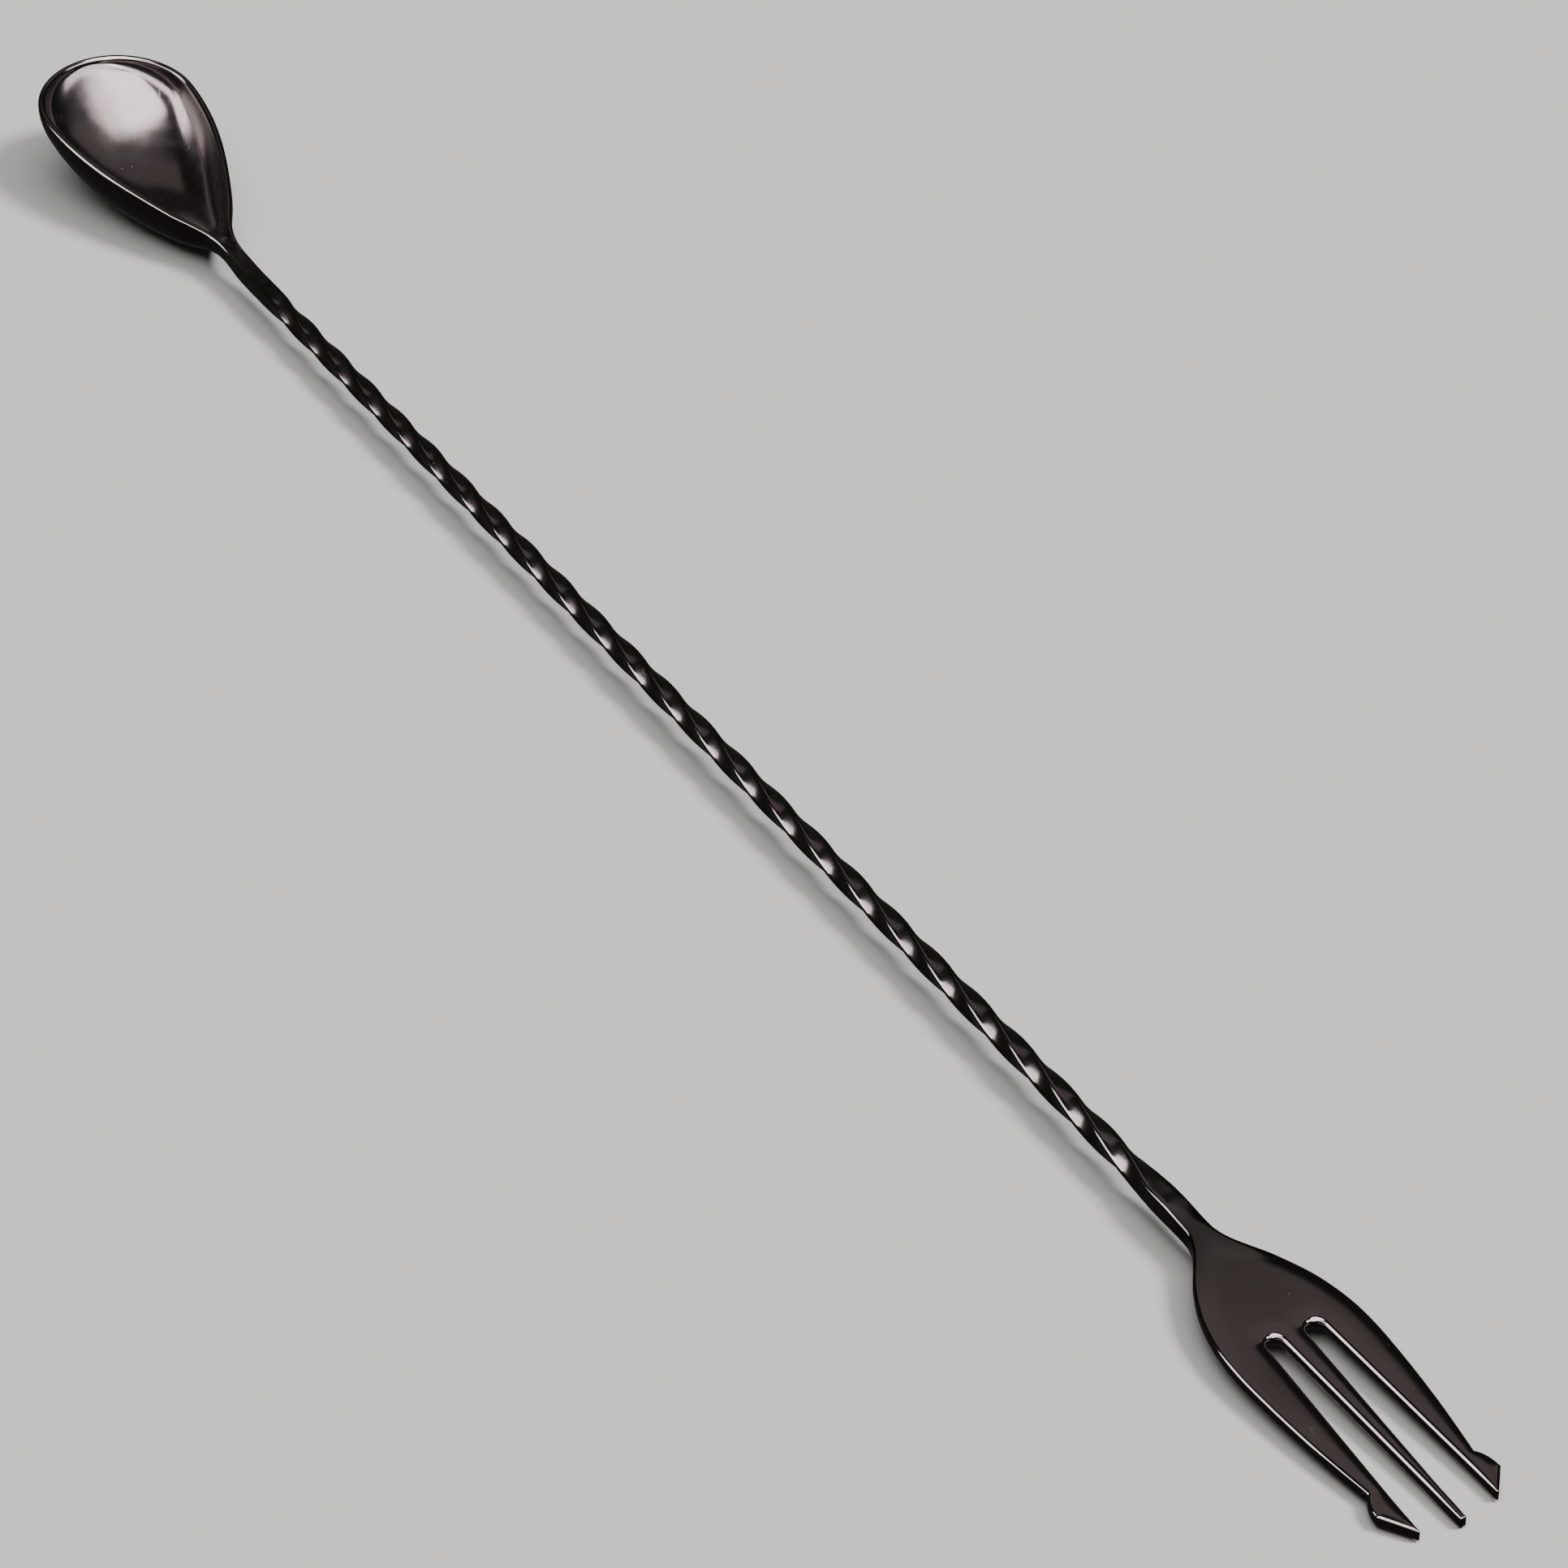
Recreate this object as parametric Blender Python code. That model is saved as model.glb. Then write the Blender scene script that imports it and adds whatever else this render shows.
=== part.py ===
"""Two-ended bar spoon: a teardrop bowl, a twisted square stem and a barbed three-tine fork.

The spoon lies along X, bowl towards -X and fork towards +X, face up on the plane Z = 0.
It rests on the underside of the bowl and on the points of the fork.
The bowl and the fork are pressings whose square necks are butt-welded to the ends of the stem,
and each weld is ground flush with the bar.
"""

import math

import bmesh
import bpy
from mathutils import Vector
from mathutils.geometry import delaunay_2d_cdt

MM = 0.001
GAP = 0.3 * MM                     # clearance kept between faces that touch

# Overall layout along X
SPOON_LENGTH = 400.0 * MM
STEM_AXIS_Z = 4.0 * MM             # height of the bar's axis over the table

# Square bar of the stem
BAR_SIDE = 2.9 * MM
BAR_CORNER = 0.55 * MM
BAR_CORNER_STEPS = 2
TWIST_BOWL_END_X = -127.8 * MM
TWIST_FORK_END_X = 132.4 * MM
QUARTER_TURNS = 24
TWIST_RAMP = 3.0 * MM              # length over which the twist fades in and out
STATIONS_PER_QUARTER_TURN = 5
PLAIN_END = 2.0 * MM               # untwisted bar past each end of the twist
SWELL_LENGTH = 6.0 * MM            # the bar swells to each neck's section over this length
BOWL_NECK_SECTION = (3.1 * MM, 2.9 * MM)   # width and height at the bowl's weld
FORK_NECK_SECTION = (3.65 * MM, 3.15 * MM)  # width and height at the fork's weld

# Butt welds
WELD_THICKNESS = 0.5 * MM

# Bowl
BOWL_NECK_X = -138.5 * MM          # where the neck starts to open into the bowl
BOWL_HALF_WIDTH = 13.6 * MM
BOWL_WIDEST = 0.78                 # place of the widest section, as a share of the bowl's length
BOWL_DEPTH = 10.29 * MM            # rim to underside
BOWL_RISE = 0.151                  # slope of the rim, up towards the tip
BOWL_BEND = 5.0 * MM               # length over which the neck bends to that slope
BOWL_WALL = 1.2 * MM
BOWL_LIP_STEPS = 4
BOWL_SECTION_POWER = 2.55          # 2 is an ellipse, larger is squarer
BOWL_HOLLOW_START = 0.07           # where the hollow starts, as a share of the bowl's length
BOWL_OPENING = 0.28                # share of the length over which the neck becomes the bowl
BOWL_STATIONS = 34
BOWL_OUTER_STEPS = 16
BOWL_INNER_STEPS = 12

# Fork, in its own plan: u runs from the shoulder towards the points, v to the side
FORK_SHOULDER_X = 142.7 * MM
FORK_DROOP = 0.0476               # slope of the fork, down towards the points
FORK_DROOP_START = -5.5 * MM
FORK_THICKNESS = 2.05 * MM
FORK_THINNING = (-3.0 * MM, 8.0 * MM)   # the neck thins to the blade between these
FORK_EDGE_RADIUS = 0.45 * MM
FORK_EDGE_STEPS = 2
# Half-width of the neck and blade at points along u, in millimetres
FORK_SIDE = ((-3.0, 1.83), (-0.8, 1.9), (0.5, 2.2), (1.9, 2.78), (3.8, 3.95), (7.5, 6.4),
             (12.5, 8.7), (18.0, 10.05), (23.5, 10.45), (30.5, 10.13), (38.0, 9.45), (44.0, 8.67),
             (48.4, 8.0))
BARB_CORNER = (52.1 * MM, 9.3 * MM)
SLOT_END_U = 19.9 * MM
# Hand-ground, so the two halves differ a little: side +1 is towards +Y
TINE_POINT = {1: (56.0 * MM, 6.2 * MM), -1: (57.0 * MM, 5.95 * MM)}
SLOT_CENTRE_V = {1: 3.16 * MM, -1: 2.97 * MM}
SLOT_RADIUS = {1: 1.33 * MM, -1: 1.15 * MM}
MIDDLE_POINT = (57.3 * MM, 0.5 * MM)    # end of the middle tine, and its half-width there
POINT_RADIUS = 0.3 * MM
FORK_GRID = 2.4 * MM

# Looks: base colour, roughness and metallic value of the plating on each piece
PLATING = {
    "spoon_bowl": ((0.105, 0.096, 0.097), 0.16),
    "bowl_weld": ((0.100, 0.092, 0.093), 0.22),
    "twisted_stem": ((0.100, 0.092, 0.093), 0.18),
    "fork_weld": ((0.100, 0.092, 0.093), 0.22),
    "trident_fork": ((0.110, 0.099, 0.097), 0.20),
}
METALLIC = 1.0


def clear_scene():
    """Remove whatever the file holds."""
    for old in list(bpy.data.objects):
        bpy.data.objects.remove(old, do_unlink=True)


def plating_material(name):
    """The polished gunmetal plating of one piece."""
    colour, roughness = PLATING[name]
    material = bpy.data.materials.new(name + "_plating")
    material.use_nodes = True
    shader = material.node_tree.nodes["Principled BSDF"]
    shader.inputs["Base Color"].default_value = (*colour, 1.0)
    shader.inputs["Roughness"].default_value = roughness
    shader.inputs["Metallic"].default_value = METALLIC
    return material


def add_piece(name, bm):
    """Turn a bmesh into a named object with outward faces, smooth shading and its material."""
    bmesh.ops.recalc_face_normals(bm, faces=bm.faces)
    if bm.calc_volume(signed=True) < 0.0:
        bmesh.ops.reverse_faces(bm, faces=bm.faces)
    mesh = bpy.data.meshes.new(name)
    bm.to_mesh(mesh)
    bm.free()
    mesh.shade_smooth()
    mesh.set_sharp_from_angle(angle=math.radians(40.0))
    mesh.materials.append(plating_material(name))
    piece = bpy.data.objects.new(name, mesh)
    bpy.context.scene.collection.objects.link(piece)
    return piece


def smoothstep(value, start, end):
    """0 before start, 1 after end, smooth between."""
    t = min(max((value - start) / (end - start), 0.0), 1.0)
    return t * t * (3.0 - 2.0 * t)


def soft_ramp(value, radius):
    """max(value, 0) with its corner rounded over +-radius."""
    if value <= -radius:
        return 0.0
    if value >= radius:
        return value
    return (value + radius) ** 2 / (4.0 * radius)


def loft(rings, capped=True):
    """Skin between rings of equal length, with a flat cap on the first, and on the last if capped.
    Returns the bmesh and the last ring's vertices."""
    bm = bmesh.new()
    rows = [[bm.verts.new(point) for point in ring] for ring in rings]
    count = len(rows[0])
    for row, following in zip(rows, rows[1:]):
        for i in range(count):
            j = (i + 1) % count
            bm.faces.new((row[i], row[j], following[j], following[i]))
    bm.faces.new(rows[0])
    if capped:
        bm.faces.new(rows[-1])
    return bm, rows[-1]


# ---------------------------------------------------------------- stem and welds

def bar_section(width, height):
    """Points (y, z) of a rounded rectangle about the bar's axis."""
    points = []
    half_y, half_z = width / 2.0 - BAR_CORNER, height / 2.0 - BAR_CORNER
    for quadrant, (sign_y, sign_z) in enumerate(((1, 1), (-1, 1), (-1, -1), (1, -1))):
        for step in range(BAR_CORNER_STEPS + 1):
            angle = math.pi / 2.0 * (quadrant + step / BAR_CORNER_STEPS)
            points.append((sign_y * half_y + BAR_CORNER * math.cos(angle),
                           sign_z * half_z + BAR_CORNER * math.sin(angle)))
    return points


def twist_angle(x):
    """Turn of the section about the axis at x. Its rate rises and falls over TWIST_RAMP."""
    length = TWIST_FORK_END_X - TWIST_BOWL_END_X
    rate = QUARTER_TURNS * (math.pi / 2.0) / (length - TWIST_RAMP)
    along = min(max(x - TWIST_BOWL_END_X, 0.0), length)
    rising = soft_ramp(along - TWIST_RAMP / 2.0, TWIST_RAMP / 2.0)
    falling = soft_ramp(along - length + TWIST_RAMP / 2.0, TWIST_RAMP / 2.0)
    return rate * (rising - falling)


def bar_size(x):
    """Width and height of the bar at x: square, swelling to the necks at its two ends."""
    to_bowl = 1.0 - smoothstep(x, TWIST_BOWL_END_X - PLAIN_END, TWIST_BOWL_END_X + SWELL_LENGTH)
    to_fork = smoothstep(x, TWIST_FORK_END_X - SWELL_LENGTH, TWIST_FORK_END_X + PLAIN_END)
    return [BAR_SIDE + (bowl_end - BAR_SIDE) * to_bowl + (fork_end - BAR_SIDE) * to_fork
            for bowl_end, fork_end in zip(BOWL_NECK_SECTION, FORK_NECK_SECTION)]


def bar_ring(x, size, angle=0.0):
    """A section of the given width and height at x, turned by angle from +Y towards +Z."""
    cosine, sine = math.cos(angle), math.sin(angle)
    return [(x, y * cosine - z * sine, STEM_AXIS_Z + y * sine + z * cosine)
            for y, z in bar_section(*size)]


def build_stem():
    """The square bar with plain ends and a right-handed twist between them."""
    stations = QUARTER_TURNS * STATIONS_PER_QUARTER_TURN
    span = TWIST_FORK_END_X - TWIST_BOWL_END_X
    places = [TWIST_BOWL_END_X - PLAIN_END]
    places += [TWIST_BOWL_END_X + span * i / stations for i in range(stations + 1)]
    places.append(TWIST_FORK_END_X + PLAIN_END)
    return add_piece("twisted_stem", loft([bar_ring(x, bar_size(x), twist_angle(x)) for x in places])[0])


def build_weld(name, x, size):
    """The flush butt weld whose face nearest the bowl is at x."""
    return add_piece(name, loft([bar_ring(x, size), bar_ring(x + WELD_THICKNESS, size)])[0])


# ---------------------------------------------------------------- bowl

def bowl_share(x):
    """How far x is along the bowl: 0 at the end of the neck, 1 at the tip."""
    return (BOWL_NECK_X - x) / (BOWL_NECK_X + SPOON_LENGTH / 2.0)


def egg_half_width(share):
    """Half-width of the teardrop outline."""
    if share <= 0.0:
        return 0.0
    if share < BOWL_WIDEST:
        return BOWL_HALF_WIDTH * math.sin(math.pi / 2.0 * share / BOWL_WIDEST) ** 1.3
    past = (share - BOWL_WIDEST) / (1.0 - BOWL_WIDEST)
    return BOWL_HALF_WIDTH * math.sqrt(max(1.0 - past * past, 0.0))


def depth_law(share):
    """Depth of the bowl along its centre line, as a share of the greatest depth."""
    if share <= 0.0 or share >= 1.0:
        return 0.0
    return math.sin(math.pi * share ** 1.25) ** 0.75


def rim_height(x):
    """Height of the rim: level along the neck, then rising towards the tip."""
    return STEM_AXIS_Z + BAR_SIDE / 2.0 + BOWL_RISE * soft_ramp(BOWL_NECK_X - x, BOWL_BEND)


def superellipse(angle, power):
    """Point of the unit superellipse's lower half: angle 0 is +Y, half a turn is -Y."""
    side = math.cos(angle)
    y = math.copysign(abs(side) ** (2.0 / power), side)
    return y, -max(math.sin(angle), 0.0) ** (2.0 / power)


def bowl_ring(x):
    """Section of the bowl's shell at x: under the bowl from +Y to -Y, over the rounded lip,
    along the inside and back over the other lip."""
    share = bowl_share(x)
    half_width = max(egg_half_width(share), 0.05 * MM)
    # the wall is thinner only where the bowl is narrow at its neck, not at the blunt tip
    wall = min(BOWL_WALL, (0.45 + 0.3 * smoothstep(share, BOWL_WIDEST, 1.0)) * half_width)
    lip = wall / 2.0
    base = rim_height(x) - lip           # the lip is a half circle standing on this height
    points = []
    outer_depth = BOWL_DEPTH * depth_law(share) - lip
    for step in range(BOWL_OUTER_STEPS + 1):
        y, z = superellipse(math.pi * step / BOWL_OUTER_STEPS, BOWL_SECTION_POWER)
        points.append((x, half_width * y, base + max(outer_depth, 0.0) * z))
    # the inside is the same shape, a wall's thickness smaller all round
    inner_share = (share - BOWL_HOLLOW_START) / (1.0 - BOWL_HOLLOW_START)
    inner_x = x + BOWL_WALL * smoothstep(share, BOWL_WIDEST, 1.0)
    inner_depth = max((BOWL_DEPTH - BOWL_WALL) * depth_law(inner_share) - lip, 0.0)
    inside = []
    for step in range(BOWL_INNER_STEPS + 1):
        y, z = superellipse(math.pi * (1.0 - step / BOWL_INNER_STEPS), BOWL_SECTION_POWER)
        inside.append((inner_x, (half_width - wall) * y, base + inner_depth * z))
    for side, after in ((-1.0, inside), (1.0, [])):
        for step in range(1, BOWL_LIP_STEPS):
            angle = math.pi * step / BOWL_LIP_STEPS
            across = half_width - wall * (1.0 + side * math.cos(angle)) / 2.0
            points.append((x + (inner_x - x) * (half_width - across) / wall,
                           side * across, base + lip * math.sin(angle)))
        points += after
    return points


def neck_ring(x):
    """The neck's section at x, with its points spread as bowl_ring spreads them."""
    half_y, half_z = BOWL_NECK_SECTION[0] / 2.0, BOWL_NECK_SECTION[1] / 2.0
    base = STEM_AXIS_Z + half_z - BAR_CORNER
    points = []
    for step in range(BOWL_OUTER_STEPS + 1):
        y, z = superellipse(math.pi * step / BOWL_OUTER_STEPS, 6.0)
        points.append((x, half_y * y, base + (2.0 * half_z - BAR_CORNER) * z))
    top = []
    for step in range(BOWL_INNER_STEPS + 1):
        y = -math.cos(math.pi * step / BOWL_INNER_STEPS)
        top.append((x, (half_y - BAR_CORNER) * y, base + BAR_CORNER))
    for side, after in ((-1.0, top), (1.0, [])):
        for step in range(1, BOWL_LIP_STEPS):
            turn = math.pi / 2.0 * step / BOWL_LIP_STEPS
            turn = turn if side < 0.0 else math.pi / 2.0 - turn
            points.append((x, side * (half_y - BAR_CORNER * (1.0 - math.cos(turn))),
                           base + BAR_CORNER * math.sin(turn)))
        points += after
    return points


def close_bowl_tip(bm, ring):
    """Close the bowl past its last ring: underside, lip and inside each meet their own middle."""
    tip_x = -SPOON_LENGTH / 2.0
    lip = BOWL_WALL / 2.0
    base = rim_height(tip_x) - lip
    middle = []
    for step in range(BOWL_LIP_STEPS + 1):
        angle = math.pi * step / BOWL_LIP_STEPS
        middle.append(bm.verts.new((tip_x + lip * (1.0 - math.cos(angle)), 0.0,
                                    base + lip * math.sin(angle))))
    outer_end = BOWL_OUTER_STEPS
    inner_start = outer_end + BOWL_LIP_STEPS
    inner_end = inner_start + BOWL_INNER_STEPS
    for start, end, apex in ((0, outer_end, middle[0]), (inner_start, inner_end, middle[-1])):
        for i in range(start, end):
            bm.faces.new((ring[i], ring[i + 1], apex))
    left_lip = ring[outer_end:inner_start + 1]
    right_lip = [ring[0]] + list(reversed(ring[inner_end:]))
    for arc in (left_lip, right_lip):
        for i in range(BOWL_LIP_STEPS):
            bm.faces.new((arc[i], arc[i + 1], middle[i + 1], middle[i]))


def build_bowl():
    """The pressed bowl with its solid square neck."""
    joint_x = TWIST_BOWL_END_X - PLAIN_END - 2.0 * GAP - WELD_THICKNESS
    tip_x = -SPOON_LENGTH / 2.0
    places = [joint_x + (BOWL_NECK_X - joint_x) * i / 5.0 for i in range(5)]
    for i in range(BOWL_STATIONS):
        # stations crowd towards the neck, and more so towards the round tip
        t = i / BOWL_STATIONS
        share = (math.sin(math.pi / 2.0 * t) + (1.0 - math.cos(math.pi * t)) / 2.0) / 2.0
        places.append(BOWL_NECK_X + (tip_x - BOWL_NECK_X) * share)
    rings = []
    for x in places:
        opened = smoothstep(bowl_share(x), 0.0, BOWL_OPENING)
        lift = rim_height(x) - rim_height(joint_x)
        rings.append([
            (px * opened + nx * (1.0 - opened),
             py * opened + ny * (1.0 - opened),
             pz * opened + (nz + lift) * (1.0 - opened))
            for (nx, ny, nz), (px, py, pz) in zip(neck_ring(x), bowl_ring(x))])
    bm, last_ring = loft(rings, capped=False)
    close_bowl_tip(bm, last_ring)
    return add_piece("spoon_bowl", bm)


# ---------------------------------------------------------------- fork

def smooth_through(points, steps):
    """Catmull-Rom curve through points, with steps pieces between each two."""
    ends = [points[0]] + list(points) + [points[-1]]
    curve = [Vector(points[0])]
    for i in range(1, len(ends) - 2):
        before, start, end, after = (Vector(p) for p in ends[i - 1:i + 3])
        for step in range(1, steps + 1):
            t = step / steps
            curve.append(0.5 * ((2.0 * start) + (end - before) * t
                                + (2.0 * before - 5.0 * start + 4.0 * end - after) * t * t
                                + (3.0 * start - before - 3.0 * end + after) * t ** 3))
    return curve


def rounded_corner(before, corner, after, radius, steps):
    """An arc of the given radius in place of a corner."""
    back = (Vector(before) - Vector(corner)).normalized()
    ahead = (Vector(after) - Vector(corner)).normalized()
    half_angle = back.angle(ahead) / 2.0
    reach = radius / math.tan(half_angle)
    centre = Vector(corner) + (back + ahead).normalized() * radius / math.sin(half_angle)
    first = Vector(corner) + back * reach - centre
    last = Vector(corner) + ahead * reach - centre
    sweep = first.angle_signed(last)
    return [centre + Vector((first.x * math.cos(a) + first.y * math.sin(a),
                             first.y * math.cos(a) - first.x * math.sin(a)))
            for a in (sweep * step / steps for step in range(steps + 1))]


def fork_half_outline(side):
    """One half of the outline, from the joint round the outer tine to the middle tine's end,
    with v taken positive."""
    joint_u = TWIST_FORK_END_X + PLAIN_END + 2.0 * GAP + WELD_THICKNESS - FORK_SHOULDER_X
    flank = smooth_through([(u * MM, v * MM) for u, v in FORK_SIDE], 2)
    notch = flank[-1]
    outline = [Vector((joint_u, FORK_NECK_SECTION[0] / 2.0))] + flank
    # the barb swells out of the tine and ends at a corner
    for step in range(1, 5):
        t = step / 5.0
        outline.append(Vector((notch.x + (BARB_CORNER[0] - notch.x) * t ** 1.3,
                               notch.y + (BARB_CORNER[1] - notch.y) * math.sin(math.pi / 2.0 * t))))
    tine_point, radius = TINE_POINT[side], SLOT_RADIUS[side]
    slot_centre = Vector((SLOT_END_U + radius, SLOT_CENTRE_V[side]))
    slot_outer = slot_centre + Vector((0.0, radius))
    outline += rounded_corner(outline[-1], BARB_CORNER, tine_point, POINT_RADIUS, 2)
    outline += rounded_corner(BARB_CORNER, tine_point, slot_outer, POINT_RADIUS / 2.0, 3)
    # long straight edge up to the slot's round end, and down the middle tine
    outline.append(Vector(tine_point).lerp(slot_outer, 0.5))
    for step in range(9):
        angle = math.pi / 2.0 + math.pi * step / 8.0
        outline.append(slot_centre + radius * Vector((math.cos(angle), math.sin(angle))))
    outline.append(outline[-1].lerp(Vector(MIDDLE_POINT), 0.5))
    end_centre = (MIDDLE_POINT[0], 0.0)
    outline += rounded_corner(outline[-1], MIDDLE_POINT, end_centre, POINT_RADIUS, 2)
    return outline


def fork_outline():
    """The whole outline, open at the joint: round the +Y half and back along the -Y half."""
    return fork_half_outline(1) + [Vector((p.x, -p.y)) for p in reversed(fork_half_outline(-1))]


def inward_normals(points):
    """Unit normals into the outline at each of its points, level with the joint at the ends."""
    normals = []
    for i in range(1, len(points) - 1):
        before = (points[i] - points[i - 1]).normalized()
        after = (points[i + 1] - points[i]).normalized()
        along = (before + after).normalized()
        normals.append(Vector((along.y, -along.x)))
    return [Vector((0.0, -1.0))] + normals + [Vector((0.0, 1.0))]


def edge_radii(points, normals):
    """Rounding that fits at each point: no more than the largest circle inside the outline there."""
    radii = []
    for point, normal in zip(points, normals):
        room = FORK_EDGE_RADIUS
        for other in points:
            across = other - point
            ahead = across.dot(normal)
            if ahead > 1e-7:
                room = min(room, 0.9 * across.length_squared / (2.0 * ahead))
        radii.append(room)
    return radii


def fork_thickness(u):
    """Thickness of the fork: the neck's, thinning to the blade."""
    neck = FORK_NECK_SECTION[1]
    return neck + (FORK_THICKNESS - neck) * smoothstep(u, *FORK_THINNING)


def place_on_fork(u, v, height):
    """World point for a place in the fork's plan and a height over its middle surface."""
    drop = FORK_DROOP * soft_ramp(u - FORK_DROOP_START, 2.0 * MM)
    return (FORK_SHOULDER_X + u, v, STEM_AXIS_Z - drop + height)


def inside_outline(point, polygon):
    """Whether a plan point lies inside a polygon."""
    inside = False
    for a, b in zip(polygon, polygon[1:] + polygon[:1]):
        if (a.y > point.y) != (b.y > point.y):
            if point.x < a.x + (b.x - a.x) * (point.y - a.y) / (b.y - a.y):
                inside = not inside
    return inside


def face_triangles(border):
    """Triangles over the flat face inside border, with extra points where the neck thins."""
    points = list(border)
    u = FORK_THINNING[0]
    while u <= FORK_THINNING[1]:
        v = -3.0 * FORK_GRID
        while v <= 3.0 * FORK_GRID:
            candidate = Vector((u, v))
            clear = min((candidate - p).length for p in border) > FORK_GRID / 3.0
            if clear and inside_outline(candidate, border):
                points.append(candidate)
            v += FORK_GRID
        u += FORK_GRID / 2.0
    ring = list(range(len(border)))
    result = delaunay_2d_cdt(points, [], [ring], 1, 1e-9)
    return result[0], result[2]


def build_fork():
    """The pressed fork: rounded edges in rings round the outline, and a flat face inside them."""
    outline = fork_outline()
    normals = inward_normals(outline)
    radii = edge_radii(outline, normals)
    bm = bmesh.new()
    rings = []
    for side in (-1.0, 1.0):
        steps = range(FORK_EDGE_STEPS + 1)
        for step in (steps if side > 0.0 else reversed(steps)):
            angle = math.pi / 2.0 * step / FORK_EDGE_STEPS
            ring = []
            for point, normal, radius in zip(outline, normals, radii):
                plan = point + normal * radius * (1.0 - math.cos(angle))
                height = fork_thickness(plan.x) / 2.0 - radius * (1.0 - math.sin(angle))
                ring.append(bm.verts.new(place_on_fork(plan.x, plan.y, side * height)))
            rings.append(ring)
    for ring, following in zip(rings, rings[1:]):
        for i in range(len(ring) - 1):
            bm.faces.new((ring[i], ring[i + 1], following[i + 1], following[i]))
    # flat end of the neck, at the weld
    bm.faces.new([ring[0] for ring in rings] + [ring[-1] for ring in reversed(rings)])
    border = [p + n * r for p, n, r in zip(outline, normals, radii)]
    plan_points, triangles = face_triangles(border)
    for side, ring in ((-1.0, rings[0]), (1.0, rings[-1])):
        verts = list(ring)
        for plan in plan_points[len(ring):]:
            height = side * fork_thickness(plan.x) / 2.0
            verts.append(bm.verts.new(place_on_fork(plan.x, plan.y, height)))
        for triangle in triangles:
            bm.faces.new([verts[i] for i in triangle])
    return add_piece("trident_fork", bm)


def main():
    clear_scene()
    build_bowl()
    build_weld("bowl_weld", TWIST_BOWL_END_X - PLAIN_END - GAP - WELD_THICKNESS, BOWL_NECK_SECTION)
    build_stem()
    build_weld("fork_weld", TWIST_FORK_END_X + PLAIN_END + GAP, FORK_NECK_SECTION)
    build_fork()


main()
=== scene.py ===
"""Looks of the two-ended bar spoon: fine meshes, gunmetal plating, pale floor and studio light.

Lengths are in millimetres until finish_mesh turns a piece into metres.
"""
from collections import namedtuple
import math

import bmesh
import bpy
import numpy as np
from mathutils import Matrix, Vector
from mathutils.geometry import delaunay_2d_cdt


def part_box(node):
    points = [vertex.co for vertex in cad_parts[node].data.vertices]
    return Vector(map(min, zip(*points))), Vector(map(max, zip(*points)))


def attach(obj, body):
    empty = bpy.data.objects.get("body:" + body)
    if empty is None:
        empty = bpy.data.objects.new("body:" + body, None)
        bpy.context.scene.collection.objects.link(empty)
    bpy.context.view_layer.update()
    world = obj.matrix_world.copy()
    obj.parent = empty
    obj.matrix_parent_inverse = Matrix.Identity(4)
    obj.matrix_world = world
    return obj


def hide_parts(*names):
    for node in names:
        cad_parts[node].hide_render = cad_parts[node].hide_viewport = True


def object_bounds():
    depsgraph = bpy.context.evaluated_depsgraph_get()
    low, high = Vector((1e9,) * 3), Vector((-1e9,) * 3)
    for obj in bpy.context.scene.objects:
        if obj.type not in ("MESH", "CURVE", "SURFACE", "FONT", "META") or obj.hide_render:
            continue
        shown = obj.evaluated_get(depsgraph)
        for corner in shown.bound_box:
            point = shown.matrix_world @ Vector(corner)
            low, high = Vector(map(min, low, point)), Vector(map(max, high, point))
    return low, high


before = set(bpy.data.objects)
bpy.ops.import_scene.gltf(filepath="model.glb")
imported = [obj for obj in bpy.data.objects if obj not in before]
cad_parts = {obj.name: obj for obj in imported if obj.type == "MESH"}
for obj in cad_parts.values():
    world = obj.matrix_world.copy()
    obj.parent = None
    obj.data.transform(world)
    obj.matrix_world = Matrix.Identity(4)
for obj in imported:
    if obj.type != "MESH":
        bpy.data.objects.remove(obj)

CAD_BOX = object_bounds()
MM = 0.001

# ---------------------------------------------------------------- places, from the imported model

BOWL_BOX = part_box("spoon_bowl")
STEM_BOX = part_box("twisted_stem")
FORK_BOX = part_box("trident_fork")
STEM_Z = (STEM_BOX[0].z + STEM_BOX[1].z) / 2.0 / MM
STEM_START, STEM_END = STEM_BOX[0].x / MM, STEM_BOX[1].x / MM
BOWL_JOINT, BOWL_TIP = BOWL_BOX[1].x / MM, BOWL_BOX[0].x / MM
FORK_JOINT, FORK_END = FORK_BOX[0].x / MM, FORK_BOX[1].x / MM

# ---------------------------------------------------------------- sizes

# Bar
BAR_SIDE = 2.9
BAR_CORNER = 0.55
PLAIN_END = 2.0                      # untwisted length at each end of the stem
TWIST_START, TWIST_END = STEM_START + PLAIN_END, STEM_END - PLAIN_END
TWIST_RAMP = 3.0                     # length over which the twist sets in, and dies away
QUARTER_TURNS = 24
SWELL = 6.0                          # twisted length that also swells towards a neck
BOWL_NECK = (3.1, 2.9)               # width and height of the section at the bowl's weld
FORK_NECK = (3.65, 3.15)             # and at the fork's weld
BAR_STATION = 0.3
BAR_ARC_STEPS, BAR_FLAT_STEPS = 5, 5
WELD_STEPS = 4

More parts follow.
